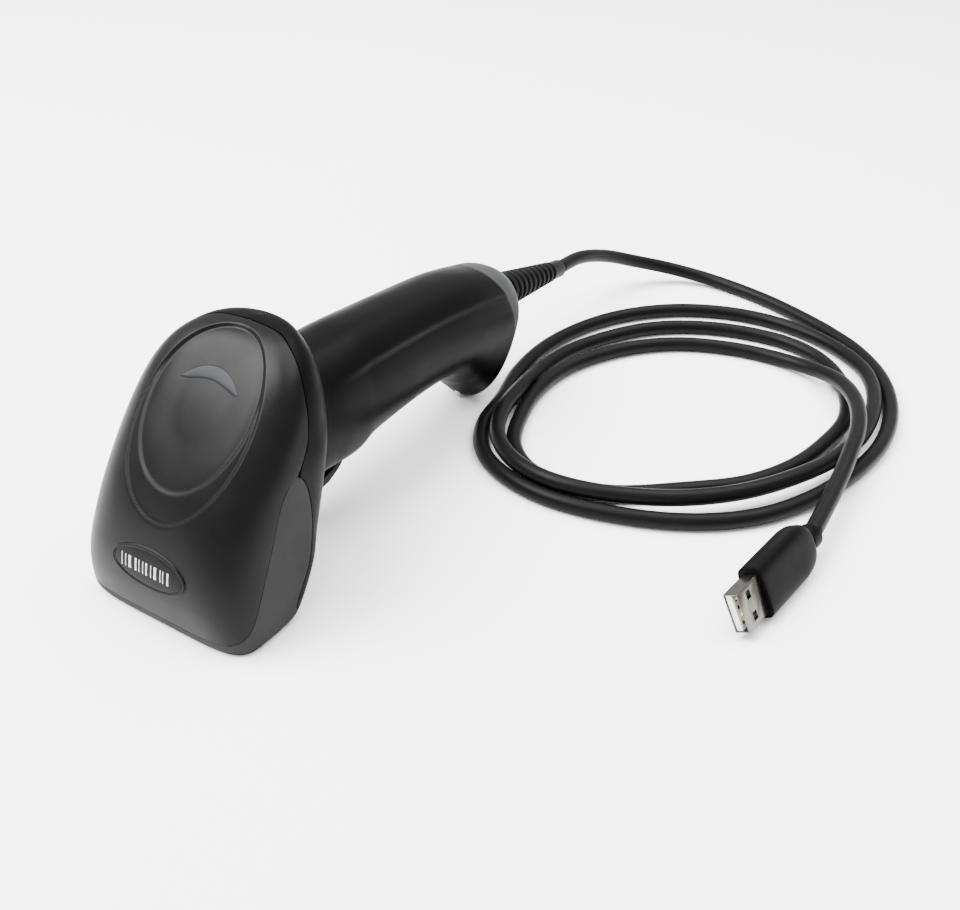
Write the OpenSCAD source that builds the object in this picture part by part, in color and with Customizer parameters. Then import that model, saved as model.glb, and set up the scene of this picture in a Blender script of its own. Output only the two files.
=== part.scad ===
// Handheld barcode scanner, lying on its nose and on the toe of its handle.
// X runs from the nose to the cable, Y is across (the user's right is +Y), Z is up.
// The origin is on the table, under the middle of the scanner without its cord.

/* [Shells] */
// Thickness of the head's shells
head_wall = 2.2; // [1.8:0.1:2.6]
// Thickness of the handle's wall
handle_wall = 2.4; // [2:0.1:2.8]
// Gap between neighbouring shells
seam_gap = 0.2; // [0.1:0.05:0.4]
// Depth of the oval dish in the top cover
dish_depth = 1.1; // [0.5:0.1:1.4]

/* [Trigger] */
// Width of the trigger
trigger_w = 15; // [12:0.5:16]
// Radius of the trigger's pin
pin_r = 1.5; // [1.2:0.1:2]
// Radial play between the pin and the trigger
pin_play = 0.05; // [0.02:0.01:0.1]

/* [Window] */
// Length of the scan window, across the nose
window_l = 44; // [36:1:46]
// Width of the scan window
window_w = 13; // [10:0.5:14]

/* [Cable] */
// Diameter of the cord
cord_d = 5.7; // [5:0.1:6]
// Length of the ribbed strain relief
relief_l = 58; // [50:1:62]
// Number of ribs on the strain relief
relief_ribs = 11; // [8:1:13]

/* [Hidden] */

$fn = 48;

// Middle of the scanner's length in the numbers below: the nose lip is at -4, the boot's tip at 231
mid_x = 113.44;

// Head outline, one row per level above the table:
// height, front x, x of the widest line, back x, half width, front roundness, back roundness
head_rows = [
    [0, -1.5, 14, 20, 29.5, 5.5, 4],
    [3.5, -3, 18, 26, 31, 5.5, 4],
    [14, -4, 22.5, 34.5, 31, 5, 4],
    [24, -2.5, 26, 40, 30.4, 4.4, 3.2],
    [37, 3, 28.5, 46, 30, 3.6, 3],
    [49, 11, 30.5, 50.5, 29.5, 3, 2.8],
    [60, 20, 33.5, 53, 27.5, 2.6, 2.5],
    [68, 28, 37, 54, 23.5, 2.4, 2.3],
    [73, 34.5, 41, 53.5, 18, 2.2, 2.1],
    [75.6, 40, 45, 52, 11.5, 2, 2],
    [76.5, 46, 47, 48, 0.5, 2, 2]
];

// Handle outline, one row per station from the head to the butt:
// centre x, centre z, tilt, reach to the back, reach to the trigger side, half width
handle_rows = [
    [34, 43, 10, 17, 20, 15.5],
    [46, 41.8, 6, 19.8, 23, 17.5],
    [60, 40.7, 4, 20, 22.4, 18],
    [74, 40.4, 2, 20.1, 23.3, 17.9],
    [85, 40, 0, 20.2, 19.8, 17.5],
    [115, 38.5, -4, 19.3, 17, 17],
    [137, 36.5, -9, 19, 17.5, 17.5],
    [152, 34, -17, 18.8, 24.3, 17.5],
    [162.5, 31, -22, 19.3, 29, 17],
    [169.5, 27, -23, 17.5, 29.24, 15.2],
    [174, 25, -25, 11, 19, 10],
    [175.5, 24.5, -25, 0.5, 0.5, 0.5]
];
handle_roundness = 2.25;

// Side view of the bumper: its upper edge against the top cover, then its edge against the housing
bumper_edge = [
    [-12, 4.3], [-1, 4.8], [3, 8.5], [8, 18], [13.2, 28], [18, 38.5], [21.5, 43.5], [25, 45.8],
    [28, 44], [29.8, 39], [30.5, 32], [30, 25], [28, 18], [24.4, 12], [21.4, 7.5], [20.5, 4.8],
    [40, 4.3], [40, -4], [-12, -4]
];

// Side view of the seam between the top cover and the housing, from the bumper up to the rear
seam_line = [
    [12, -6], [24, 40], [26.6, 45.4], [31.4, 53], [33.6, 59], [35, 63.5], [37, 68], [40.8, 73.5],
    [44, 76], [48, 80]
];

// Side view of the handle's end that the cap covers
cap_edge = [
    [156, 64], [158.5, 51.5], [162.5, 40], [165.5, 29], [165.5, 18], [163.5, 9], [159, 4.5],
    [152, 3], [134, 2.4], [134, -6], [196, -6], [196, 64]
];

// Middle of the top face, and how far that face leans back from level
dish_at = [23, 0, 59];
face_lean = 42;

// The dish: how far its middle lies up the face, and its half length and half width
dish_run = -4.35;
dish_half_l = 29.65;
dish_half_w = 20;

// The status light's crescent: outer and inner circle, as place up the face and radius
light_outer = [-0.1, 11.75];
light_inner = [-25.8, 33.1];

pivot = [52, 0, 28];
slot_x = [47, 79];
slot_gap = 0.6;
board_z = 43.5;
board_t = 1.2;
switch_x = 74;
post_top = 33;
press_gap = 0.3;

relief_from = [173, 0, 35];
relief_pitch = 9;

// Middle of the cord's end in its plug, and how the plug is turned and rolled
plug_at = [133, -142, 8.2];
plug_turn = 173;
plug_roll = -60;

// The cord's middle line: out of the boot, down to the table, three loose turns, then the plug.
cord_route = [
    [231, 0, 25.8], [250, -1, 24.5], [270, -4, 19], [288, -11, 12], [301, -23, 7], [307, -38, 4],
    [306, -55, 3], [301, -72, 3], [294, -88, 3], [286, -103, 3], [274, -119, 3], [256, -133, 3],
    [233, -142, 3], [208, -145, 3], [184, -142, 3], [161, -135, 3], [141, -124, 3],
    [126, -108, 3], [116, -88, 3], [111, -66, 3], [113, -47, 3], [122, -31, 3], [138, -21, 3],
    [158, -17, 3], [180, -11.5, 3], [204, -10, 3], [228, -14, 3], [249, -23, 3], [266, -37, 3],
    [277, -54, 3], [282, -73, 3], [280, -93, 3.2], [271.5, -111, 3.6], [257, -126, 4],
    [235, -135, 4.5], [209, -138, 5], [185, -135, 6], [163, -127, 7], [144, -115, 7],
    [129, -99, 7], [119, -80, 7], [115, -62, 7], [118, -46, 7], [128, -33, 7], [144, -25, 7],
    [164, -21, 6], [186, -18, 3.4], [208, -20, 3], [229, -28, 3], [246, -39, 3], [258, -54, 3],
    [265, -72, 3], [266, -92, 3], [258, -109, 3], [241, -122, 3], [219, -129, 3], [197, -128, 3],
    [175, -123, 3], [156, -113, 3], [140, -97, 3], [126, -80, 3], [120, -63, 3], [122, -49, 3],
    [132.5, -37, 3], [150, -29.5, 3], [171, -25, 3], [192, -25.5, 3], [212, -32, 3],
    [229, -43, 3], [241, -57, 3], [248, -74, 3], [250, -90, 3.2], [247, -105, 4.5],
    [239, -117, 7.5], [228, -126, 10], [214, -133, 11.4], [198, -137.5, 11.6],
    [181, -139.5, 10.6], [165, -140.7, 9.2], [149, -141.5, 8.5], [133.5, -142, 8.2]
];
cord_sides = 8;

spring_x = 62;
spring_low = 20;
spring_high = 32;
spring_turns = 6;
spring_r = 2.6;
spring_wire_r = 0.3;

// How finely the shells are skinned, and the smallest ring that closes them
head_sides = 32;
head_rings = 20;
handle_sides = 28;
handle_rings = 22;
least_r = 0.8;

// ---- shapes that follow a rule ----

// Point at t along the smooth curve through rows a, b, c and d
function blend4(a, b, c, d, t) =
    0.5 * (2 * b + (c - a) * t + (2 * a - 5 * b + 4 * c - d) * t * t
        + (3 * b - a - 3 * c + d) * t * t * t);

// Row at t along the smooth curve through all rows; t runs from 0 to the number of rows less one
function along(rows, t) =
    let (last = len(rows) - 1, i = min(floor(t), last - 1))
    let (b = rows[i], c = rows[i + 1])
    let (a = i > 0 ? rows[i - 1] : 2 * b - c, d = i + 2 <= last ? rows[i + 2] : 2 * c - b)
    blend4(a, b, c, d, t - i);

function power(v, n) = sign(v) * pow(abs(v), 2 / n);

// One ring of the head, moved in by the wall's thickness
function head_ring(row, inset, sides) =
    let (front = max(row[2] - row[1] - inset, least_r), back = max(row[3] - row[2] - inset, least_r))
    let (half = max(row[4] - inset, least_r))
    [for (k = [0 : sides - 1])
        let (c = cos(360 * k / sides), s = sin(360 * k / sides))
        let (n = c < 0 ? row[5] : row[6], reach = c < 0 ? front : back)
        [row[2] + reach * power(c, n), half * power(s, n), row[0]]];

// One ring of the handle, moved in by the wall's thickness
function handle_ring(row, inset, sides) =
    let (up = max(row[3] - inset, least_r), down = max(row[4] - inset, least_r))
    let (half = max(row[5] - inset, least_r))
    [for (k = [0 : sides - 1])
        let (c = cos(360 * k / sides), s = sin(360 * k / sides))
        let (reach = (c > 0 ? up : down) * power(c, handle_roundness))
        [row[0] - reach * sin(row[2]), -half * power(s, handle_roundness),
            row[1] + reach * cos(row[2])]];

// Faces of a solid skinned over rings of equal size
function skin_faces(rings, sides) = concat(
    [[for (k = [0 : sides - 1]) k]],
    [for (i = [0 : rings - 2]) for (k = [0 : sides - 1])
        let (n = (k + 1) % sides)
        each [[i * sides + k, (i + 1) * sides + k, (i + 1) * sides + n],
            [i * sides + k, (i + 1) * sides + n, i * sides + n]]],
    [[for (k = [sides - 1 : -1 : 0]) (rings - 1) * sides + k]]);

module skin(rings) {
    sides = len(rings[0]);
    polyhedron(points = [for (r = rings) each r], faces = skin_faces(len(rings), sides),
        convexity = 6);
}

// The head as a solid, or its inside when inset is the wall; drop extends its open end downwards
module head_solid(inset = 0, drop = 0) {
    last = len(head_rows) - 1;
    top = head_rows[last][0];
    skin([for (i = [0 : head_rings - 1])
        let (row = along(head_rows, last * i / (head_rings - 1)))
        let (z = row[0] * (top - inset) / top)
        [for (p = head_ring(row, inset, head_sides)) [p[0], p[1], i == 0 ? -drop : z]]]);
}

module handle_part(inset, from, to) {
    skin([for (i = [0 : handle_rings - 1])
        handle_ring(along(handle_rows, from + (to - from) * i / (handle_rings - 1)), inset,
            handle_sides)]);
}

module handle_solid() {
    handle_part(0, 0.35, 11);
}

// The space inside the handle: it reaches further into the head and stops short of the butt
module handle_space() {
    handle_part(handle_wall, 0, 10.45);
}

// A side-view outline, drawn through across the whole part
module across(points, half = 60) {
    translate([0, half, 0])
        rotate([90, 0, 0])
            linear_extrude(2 * half)
                polygon(points);
}

module across_shrunk(points, by, half = 60) {
    translate([0, half, 0])
        rotate([90, 0, 0])
            linear_extrude(2 * half)
                offset(delta = -by)
                    polygon(points);
}

// Places children on the top face: their Z looks out of the face, their X runs up along it
module on_face(at) {
    translate(at)
        rotate([0, -face_lean, 0])
            children();
}

module oval(half_l, half_w) {
    scale([half_l, half_w])
        circle(r = 1, $fn = 40);
}

module crescent(grow) {
    difference() {
        translate([light_outer[0], 0])
            circle(r = light_outer[1] + grow);
        translate([light_inner[0], 0])
            circle(r = light_inner[1] - grow, $fn = 120);
    }
}

module front_half() {
    across(concat([[-20, -6]], seam_line, [[48, 90], [-20, 90]]));
}

module rear_half() {
    across(concat([for (p = seam_line) p + [seam_gap, 0]], [[48 + seam_gap, 90], [90, 90], [90, -6]]));
}

// ---- places of the pieces ----

module placed() {
    translate([-mid_x, 0, 0]) children();
}

screw_y = 23;
screw_z = 31;
boss_r = 3;
cap_screw_x = 154;

module bosses(from, to) {
    for (side = [-1, 1])
        translate([from, side * screw_y, screw_z])
            rotate([0, 90, 0])
                cylinder(h = to - from, r = boss_r);
}

module screw_holes(r, from, to) {
    for (side = [-1, 1])
        translate([from, side * screw_y, screw_z])
            rotate([0, 90, 0])
                cylinder(h = to - from, r = r);
}

module cap_screw_hole() {
    translate([cap_screw_x, 0, -1])
        cylinder(h = 12, r = 1.5);
}

// ---- shells ----

module main_housing() color("#2b2d30") placed() {
    difference() {
        union() {
            difference() {
                union() {
                    intersection() {
                        head_solid();
                        rear_half();
                    }
                    handle_solid();
                }
                head_solid(head_wall, 4);
                handle_space();
                across(bumper_edge);
                across(cap_edge);
            }
            intersection() {
                bosses(27.5, 39.5);
                head_solid(0.5);
            }
        }
        translate([slot_x[0], -trigger_w / 2 - slot_gap, 6])
            cube([slot_x[1] - slot_x[0], trigger_w + 2 * slot_gap, 20]);
        screw_holes(1.4, 20, 60);
        screw_holes(2.8, 37, 60);
        cap_screw_hole();
        translate([47, -13, 70])
            cube([0.9, 4.5, 12]);
    }
}

module top_cover() color("#303236") placed() {
    difference() {
        union() {
            difference() {
                intersection() {
                    head_solid();
                    front_half();
                }
                head_solid(head_wall, 4);
                across(bumper_edge);
            }
            intersection() {
                bosses(-9.5, 27);
                head_solid(0.5);
                front_half();
            }
        }
        difference() {
            on_face(dish_at)
                translate([0, 0, -30])
                    linear_extrude(60)
                        translate([dish_run, 0]) oval(dish_half_l, dish_half_w);
            head_solid(dish_depth);
            translate([60, -60, -60]) cube(200);
        }
        on_face(dish_at)
            translate([0, 0, -30])
                linear_extrude(60)
                    crescent(0.2);
        badge_cut();
        screw_holes(1.1, 14, 60);
    }
}

badge_at = [-3.4, 0, 20.4];
badge_half_l = 13.8;
badge_half_w = 6.2;

module badge_cut() {
    translate([badge_at[0] + 1.1, 0, badge_at[2]])
        rotate([0, -90, 0])
            linear_extrude(10)
                oval(badge_half_w + 0.15, badge_half_l + 0.15);
}

module nose_bumper() color("#55585a") placed() {
    difference() {
        intersection() {
            head_solid();
            across_shrunk(bumper_edge, seam_gap);
        }
        head_solid(head_wall, 4);
    }
}

module end_cap() color("#5f6463") placed() {
    difference() {
        intersection() {
            handle_solid();
            across_shrunk(cap_edge, seam_gap);
        }
        handle_space();
        relief_frame()
            translate([0, 0, -20])
                cylinder(h = 40, r = relief_base_r + 0.1);
        cap_screw_hole();
    }
}

// ---- nose ----

module rounded_plate(x0, x1, half, r, t) {
    linear_extrude(t)
        hull()
            for (x = [x0 + r, x1 - r], y = [-half + r, half - r])
                translate([x, y]) circle(r = r, $fn = 32);
}

bezel_z = 6.2;

module nose_bezel() color("#17181a") placed() {
    difference() {
        translate([0, 0, bezel_z])
            rounded_plate(2, 20.5, 25.5, 6, 3.4);
        translate([0, 0, bezel_z - 1])
            rounded_plate(11 - window_w / 2 + 0.7, 11 + window_w / 2 - 0.7, window_l / 2 - 0.7, 3, 6);
        translate([0, 0, bezel_z + 1.2])
            rounded_plate(11 - window_w / 2 - 0.2, 11 + window_w / 2 + 0.2, window_l / 2 + 0.2, 3, 6);
    }
}

module scan_window() color("#c0283080") placed() {
    translate([0, 0, bezel_z + 1.25])
        rounded_plate(11 - window_w / 2, 11 + window_w / 2, window_l / 2, 3, 1.5);
}

module badge_plate() color("#3a3c40") placed() {
    translate([badge_at[0] + 1.0, 0, badge_at[2]])
        rotate([0, -90, 0])
            linear_extrude(1.1)
                oval(badge_half_w - 0.1, badge_half_l - 0.1);
}

module light_pipe() color("#6b7080") placed() {
    intersection() {
        on_face(dish_at)
            translate([0, 0, -30])
                linear_extrude(60)
                    crescent(0);
        difference() {
            head_solid(dish_depth - 0.4);
            head_solid(head_wall + 2);
        }
        translate([0, -30, 55]) cube([60, 60, 60]);
    }
}

module status_board() color("#1f6b3a") placed() {
    on_face(dish_at + [10, 0, 4.1]) {
        translate([-4, -11, -3])
            cube([7, 22, 1]);
        for (y = [-6, 0, 6])
            translate([-1.5, y - 1, -2])
                cube([2, 2, 0.8]);
    }
}

// ---- trigger group ----

trigger_outline = [
    [48.3, 28], [48.5, 20], [50, 16.2], [54, 13.4], [60, 12.4], [66, 13.2], [71, 15.6],
    [75.5, 19.5], [77, 23], [76, 24], [76, 32.6], [75.6, post_top], [72.4, post_top], [72, 32.6],
    [72, 20.5], [68, 17], [64, 16], [60.5, 16.8], [57, 20], [55.7, 28]
];

module trigger() color("#232527") placed() {
    difference() {
        union() {
            translate([0, trigger_w / 2, 0])
                rotate([90, 0, 0])
                    linear_extrude(trigger_w)
                        polygon(trigger_outline);
            translate([pivot[0], trigger_w / 2, pivot[2]])
                rotate([90, 0, 0])
                    cylinder(h = trigger_w, r = 3.8);
        }
        translate([pivot[0], 20, pivot[2]])
            rotate([90, 0, 0])
                cylinder(h = 40, r = pin_r + pin_play);
        for (side = [-1, 1])
            translate([58, side * 5 - 2.5 + side * 2.5, 17.8])
                cube([40, 5, 20]);
        translate([spring_x, 0, 15.6])
            cylinder(h = 10, r = spring_r + 0.8);
    }
}

module trigger_bracket() color("#8b8f94") placed() {
    difference() {
        union() {
            for (side = [-1, 1])
                translate([47, side * (trigger_w / 2 + 1.4) - 0.8, 25.3])
                    cube([11, 1.6, 8.3]);
            translate([47, -trigger_w / 2 - 2.2, spring_high])
                cube([20, trigger_w + 4.4, 1.6]);
            for (x = [49, 64])
                translate([x, 0, spring_high + 1])
                    cylinder(h = board_z - spring_high - 1, r = 1.6);
        }
        translate([pivot[0], 20, pivot[2]])
            rotate([90, 0, 0])
                cylinder(h = 40, r = pin_r + 0.02);
    }
}

module trigger_pin() color("#b9bcc0") placed() {
    translate([pivot[0], trigger_w / 2 + 2.4, pivot[2]])
        rotate([90, 0, 0])
            cylinder(h = trigger_w + 4.8, r = pin_r);
}

module trigger_spring() color("#c8cbd0") placed() {
    steps = 10 * spring_turns;
    rise = (spring_high - spring_low - 2 * spring_wire_r - 0.1) / steps;
    skin([for (i = [0 : steps])
        let (turn = 36 * i)
        [for (k = [5 : -1 : 0])
            let (out = spring_r - spring_wire_r + spring_wire_r * cos(60 * k))
            [spring_x + out * cos(turn), out * sin(turn),
                spring_low - 3.9 + spring_wire_r + 0.05 + rise * i * 15.9 / 12
                    + spring_wire_r * sin(60 * k)]]]);
}

module trigger_switch() color("#1a1a1c") placed() {
    difference() {
        translate([switch_x - 6, -3, board_z - 6.2])
            cube([12, 6, 6.1]);
        translate([switch_x, 0, board_z - 8])
            cylinder(h = 6, r = 1.35);
    }
}

module switch_plunger() color("#d8d8d2") placed() {
    translate([switch_x, 0, post_top + press_gap])
        cylinder(h = 5.4, r = 1.25);
}

// ---- electronics ----

module main_board() color("#1f6b3a") placed() {
    difference() {
        translate([46, -11.5, board_z])
            cube([104, 23, board_t]);
        for (x = [49, 64])
            translate([x, 0, board_z - 1])
                cylinder(h = 4, r = 1);
    }
}

module board_chips() color("#141416") placed() {
    for (chip = [[80, 12, 12, 1.4], [100, 9, 8, 1.2], [118, 6, 9, 1], [132, 7, 6, 1.2]])
        translate([chip[0], -chip[2] / 2, board_z + board_t + 0.05])
            cube([chip[1], chip[2], chip[3]]);
}

module beeper() color("#101012") placed() {
    translate([71, 0, board_z + board_t + 0.05])
        difference() {
            cylinder(h = 4.5, r = 6);
            translate([0, 0, 3.5])
                cylinder(h = 3, r = 1);
        }
}

module imager_bracket() color("#222426") placed() {
    difference() {
        translate([4, -15, 13])
            cube([22, 30, 16]);
        translate([5.6, -13.4, 11])
            cube([18.8, 26.8, 16.4]);
        translate([13, 0, 20])
            cylinder(h = 12, r = 3);
    }
}

module imager_board() color("#1f6b3a") placed() {
    translate([4, -17, 29.1])
        cube([23, 34, 1.2]);
}

module imager_lens() color("#303338") placed() {
    translate([13, 0, 17])
        difference() {
            cylinder(h = 10.3, r = 5);
            translate([0, 0, -1])
                cylinder(h = 3, r = 3.6);
        }
}

module illumination_leds() color("#f2f2ea") placed() {
    for (side = [-1, 1])
        translate([13, side * 10.5, 23])
            cylinder(h = 4.3, r = 2);
}

module aimer() color("#a8894a") placed() {
    translate([21.5, 0, 19])
        cylinder(h = 8.3, r = 2);
}

flex_path = [[24, 30.4], [26.5, 35], [31, 40.5], [38, 44.9], [47, 44.9]];

module flex_cable() color("#c98a2b") placed() {
    across(concat(flex_path, [for (i = [len(flex_path) - 1 : -1 : 0]) flex_path[i] + [-0.1, 0.35]]), 5);
}

module cable_socket() color("#1b1b1d") placed() {
    difference() {
        translate([136, -7, board_z - 12.1])
            cube([14, 14, 12]);
        translate([139, -5.2, board_z - 10.4])
            cube([14, 10.4, 8]);
    }
}

module cable_plug() color("#d9dde0aa") placed() {
    translate([139.2, -5, board_z - 10.2])
        cube([14, 10, 7.4]);
}

tail_z = board_z - 6.5;

module cable_tail() color("#1f2022") placed() {
    translate([153.25, 0, tail_z])
        rotate([0, 90 + 3, 0])
            cylinder(h = 14.5, r = 2.2);
}

// ---- fasteners ----

module cover_screws() color("#9a9da1") placed() {
    for (side = [-1, 1])
        translate([20, side * screw_y, screw_z])
            rotate([0, 90, 0]) {
                cylinder(h = 17.2, r = 1.05);
                translate([0, 0, 17.1])
                    cylinder(h = 1.8, r = 2.5);
            }
}

module cap_screw() color("#9a9da1") placed() {
    translate([cap_screw_x, 0, 1.5])
        cylinder(h = 8, r = 1.3);
}

// ---- cable ----

relief_base_r = 7.6;
relief_tip_r = 4.1;
relief_collar_r = 3.8;

module relief_frame() {
    translate(relief_from)
        rotate([0, 90 + relief_pitch, 0])
            children();
}

function relief_r(t) = relief_base_r + (relief_tip_r - relief_base_r) * t;

module strain_relief() color("#1d1e20") placed() {
    collar = 7;
    pitch = (relief_l - collar - 4) / relief_ribs;
    relief_frame()
        rotate_extrude()
            polygon(concat(
                [[0, -4], [9, -4], [9, -2.5], [relief_base_r, -2.5]],
                [for (i = [0 : relief_ribs - 1])
                    let (t = i / relief_ribs, z = 4 + pitch * i, r = relief_r(t))
                    each [[r, z], [r - 1.3, z + 0.2], [r - 1.3, z + 0.42 * pitch],
                        [r - 0.1, z + 0.46 * pitch]]],
                [[relief_collar_r, relief_l - collar], [relief_collar_r - 0.4, relief_l],
                    [0, relief_l]]));
}

function unit(v) = v / norm(v);

// Ring of the cord's tube around point p, square to direction d
function cord_ring(p, d) =
    let (side = unit(cross(d, [0, 0, 1])), up = cross(side, d))
    [for (k = [0 : cord_sides - 1])
        p + cord_d / 2 * (cos(360 * (k + 0.5) / cord_sides) * side
            - sin(360 * (k + 0.5) / cord_sides) * up)];

module cord() color("#1f2022") placed() {
    last = len(cord_route) - 1;
    skin([for (i = [0 : last])
        let (before = cord_route[max(i - 1, 0)], after = cord_route[min(i + 1, last)])
        cord_ring(cord_route[i], unit(after - before))]);
}

module plug_frame() {
    translate(plug_at)
        rotate([0, 0, plug_turn])
            rotate([plug_roll, 0, 0])
                children();
}

module rounded_block(x0, x1, half_w, half_t, r) {
    translate([x0, 0, 0])
        rotate([90, 0, 90])
            linear_extrude(x1 - x0)
                hull()
                    for (y = [-half_w + r, half_w - r], z = [-half_t + r, half_t - r])
                        translate([y, z]) circle(r = r, $fn = 24);
}

usb_w = 12;
usb_t = 4.5;
usb_l = 12;
mould_l = 37;

module usb_overmould() color("#202224") placed() {
    plug_frame() {
        rounded_block(0, 5, 3.9, 3.6, 1.8);
        rounded_block(4.9, mould_l - 0.05, 8, 4, 2.2);
    }
}

module usb_shell() color("#b6b3a8") placed() {
    plug_frame()
        difference() {
            translate([mould_l, -usb_w / 2, -usb_t / 2])
                cube([usb_l, usb_w, usb_t]);
            translate([mould_l + 0.3, -usb_w / 2 + 0.3, -usb_t / 2 + 0.3])
                cube([usb_l + 1, usb_w - 0.6, usb_t - 0.6]);
            for (side = [-1, 1])
                translate([mould_l + usb_l - 6.4, side * 3.3 - 1.25, -5])
                    cube([2.2, 2.5, 10]);
        }
}

module usb_insulator() color("#e8e8e4") placed() {
    plug_frame()
        translate([mould_l + 0.4, -5.6, -1.85])
            cube([usb_l - 0.9, 11.2, 1.8]);
}

module usb_contacts() color("#c9a24a") placed() {
    plug_frame()
        for (i = [-1.5 : 1 : 1.5])
            translate([mould_l + 3, i * 2.3 - 0.5, -0.02])
                cube([usb_l - 4.2, 1, 0.22]);
}

main_housing();
top_cover();
nose_bumper();
nose_bezel();
scan_window();
badge_plate();
light_pipe();
status_board();
end_cap();
trigger();
trigger_bracket();
trigger_pin();
trigger_spring();
trigger_switch();
switch_plunger();
main_board();
board_chips();
beeper();
imager_bracket();
imager_board();
imager_lens();
illumination_leds();
aimer();
flex_cable();
cable_socket();
cable_plug();
cable_tail();
cover_screws();
cap_screw();
strain_relief();
cord();
usb_overmould();
usb_shell();
usb_insulator();
usb_contacts();
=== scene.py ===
"""The looks of the handheld barcode scanner, on the frame that the CAD model gives."""
import math

import bmesh
import bpy
from mathutils import Matrix, Vector


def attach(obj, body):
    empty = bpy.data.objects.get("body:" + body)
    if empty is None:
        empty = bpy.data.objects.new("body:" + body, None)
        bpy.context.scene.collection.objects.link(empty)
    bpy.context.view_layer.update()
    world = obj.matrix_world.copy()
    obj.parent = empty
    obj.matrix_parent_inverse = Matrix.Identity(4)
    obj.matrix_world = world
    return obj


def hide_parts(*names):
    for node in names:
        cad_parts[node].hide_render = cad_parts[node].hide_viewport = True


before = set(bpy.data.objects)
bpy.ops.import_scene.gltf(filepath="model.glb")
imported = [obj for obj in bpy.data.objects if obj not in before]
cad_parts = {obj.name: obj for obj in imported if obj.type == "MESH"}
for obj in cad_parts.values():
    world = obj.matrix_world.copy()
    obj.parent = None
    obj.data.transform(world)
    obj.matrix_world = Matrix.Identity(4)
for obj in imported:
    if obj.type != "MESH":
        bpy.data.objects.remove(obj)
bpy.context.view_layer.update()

# ---- units and places ----

MM = 0.001
MID_X = 113.44


def place(x, y, z):
    """A point given in the design's millimetres, in the row frame's metres."""
    return Vector(((x - MID_X) * MM, y * MM, z * MM))


# ---- outlines, in millimetres: the same as the CAD model's ----

# height, front x, x of the widest line, back x, half width, front roundness, back roundness
HEAD_ROWS = [
    (0, -1.5, 14, 20, 29.5, 5.5, 4),
    (3.5, -3, 18, 26, 31, 5.5, 4),
    (14, -4, 22.5, 34.5, 31, 5, 4),
    (24, -2.5, 26, 40, 30.4, 4.4, 3.2),
    (37, 3, 28.5, 46, 30, 3.6, 3),
    (49, 11, 30.5, 50.5, 29.5, 3, 2.8),
    (60, 20, 33.5, 53, 27.5, 2.6, 2.5),
    (68, 28, 37, 54, 23.5, 2.4, 2.3),
    (73, 34.5, 41, 53.5, 18, 2.2, 2.1),
    (75.6, 40, 45, 52, 11.5, 2, 2),
    (76.5, 46, 47, 48, 0.5, 2, 2),
]

# Where the head closes at its top
HEAD_TOP_X = 47
HEAD_TOP_Z = 76.5

# centre x, centre z, tilt, reach to the back, reach to the trigger side, half width
HANDLE_ROWS = [
    (34, 43, 10, 17, 20, 15.5),
    (46, 41.8, 6, 19.8, 23, 17.5),
    (60, 40.7, 4, 20, 22.4, 18),
    (74, 40.4, 2, 20.1, 23.3, 17.9),
    (85, 40, 0, 20.2, 19.8, 17.5),
    (115, 38.5, -4, 19.3, 17, 17),
    (137, 36.5, -9, 19, 17.5, 17.5),
    (152, 34, -17, 18.8, 24.3, 17.5),
    (162.5, 31, -22, 19.3, 29, 17),
    (169.5, 27, -23, 17.5, 29.24, 15.2),
    (174, 25, -25, 11, 19, 10),
    (175.5, 24.5, -25, 0.5, 0.5, 0.5),
]
HANDLE_ROUNDNESS = 2.25

# The soft crease along each side of the handle: degrees from its back, and how deep it is
CREASE_ANGLE = 54
CREASE_DEPTH = 0.9

# Side view, as (z, x): the cover's edge along the bumper and up the seam, the housing's edge,
# and the rear and front edge of the bumper's leaf on each side of the head
COVER_EDGE = [
    (4.4, -1.6), (8.5, 3), (18, 8), (28, 13.2), (38.5, 18), (43.5, 21.5), (45.6, 25.6),
    (53, 31.4), (59, 33.6), (63.5, 35), (68, 37), (73.5, 40.8), (76, 44), (78, 46),
]
HOUSING_EDGE = [
    (4.4, 20.5), (7.5, 21.4), (12, 24.4), (18, 28), (25, 30), (32, 30.5), (39, 29.8),
    (43.5, 28.4), (46.2, 27.1), (53, 31.6), (59, 33.8), (63.5, 35.2), (68, 37.2), (73.5, 41),
    (76, 44.2), (78, 46.2),
]
LEAF_REAR = [
    (4.4, 20.3), (7.5, 21.2), (12, 24.2), (18, 27.8), (25, 29.8), (32, 30.3), (39, 29.6),
    (43.5, 28.1), (45.7, 26.2),
]
LEAF_FRONT = [
    (4.4, -1.4), (8.5, 3.2), (18, 8.2), (28, 13.4), (38.5, 18.2), (43.5, 21.9), (45.7, 26),
]
NOSE_RING_TOP = 4.3
LEAF_TOP = 45.7

# Side view, as (x, z), of the edge between the handle and its end cap, from the back round the toe
CAP_EDGE = [
    (156, 64), (158.5, 51.5), (162.5, 40), (165.5, 29), (165.5, 18), (163.5, 9), (159, 4.5),
    (152, 3), (134, 2.4), (134, -6),
]

HEAD_WALL = 2.2
HANDLE_WALL = 2.4
SEAM_GAP = 0.2
SLOT_X = (47, 79)
SLOT_HALF_W = 8.1

# The dish in the top face: an oval, and a bowl inside it that meets its upper end
DISH_AT = Vector((23, 0, 59))
FACE_LEAN = math.radians(42)
DISH_RUN = -4.35
DISH_HALF_L = 29.65
DISH_HALF_W = 20
BOWL_RUN = -0.1
BOWL_HALF_L = 25.4
BOWL_HALF_W = 18.4

# How deep each of the dish's steps is, and how steeply it falls
RIM_DEPTH = 0.55
RIM_STEEPNESS = 26
LIP_DEPTH = 0.4
LIP_STEEPNESS = 22
BOWL_DEPTH = 0.75
BOWL_STEEPNESS = 1.6

BADGE_Z = 20.4
BADGE_HALF_L = 13.8
BADGE_HALF_H = 6.2

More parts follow.
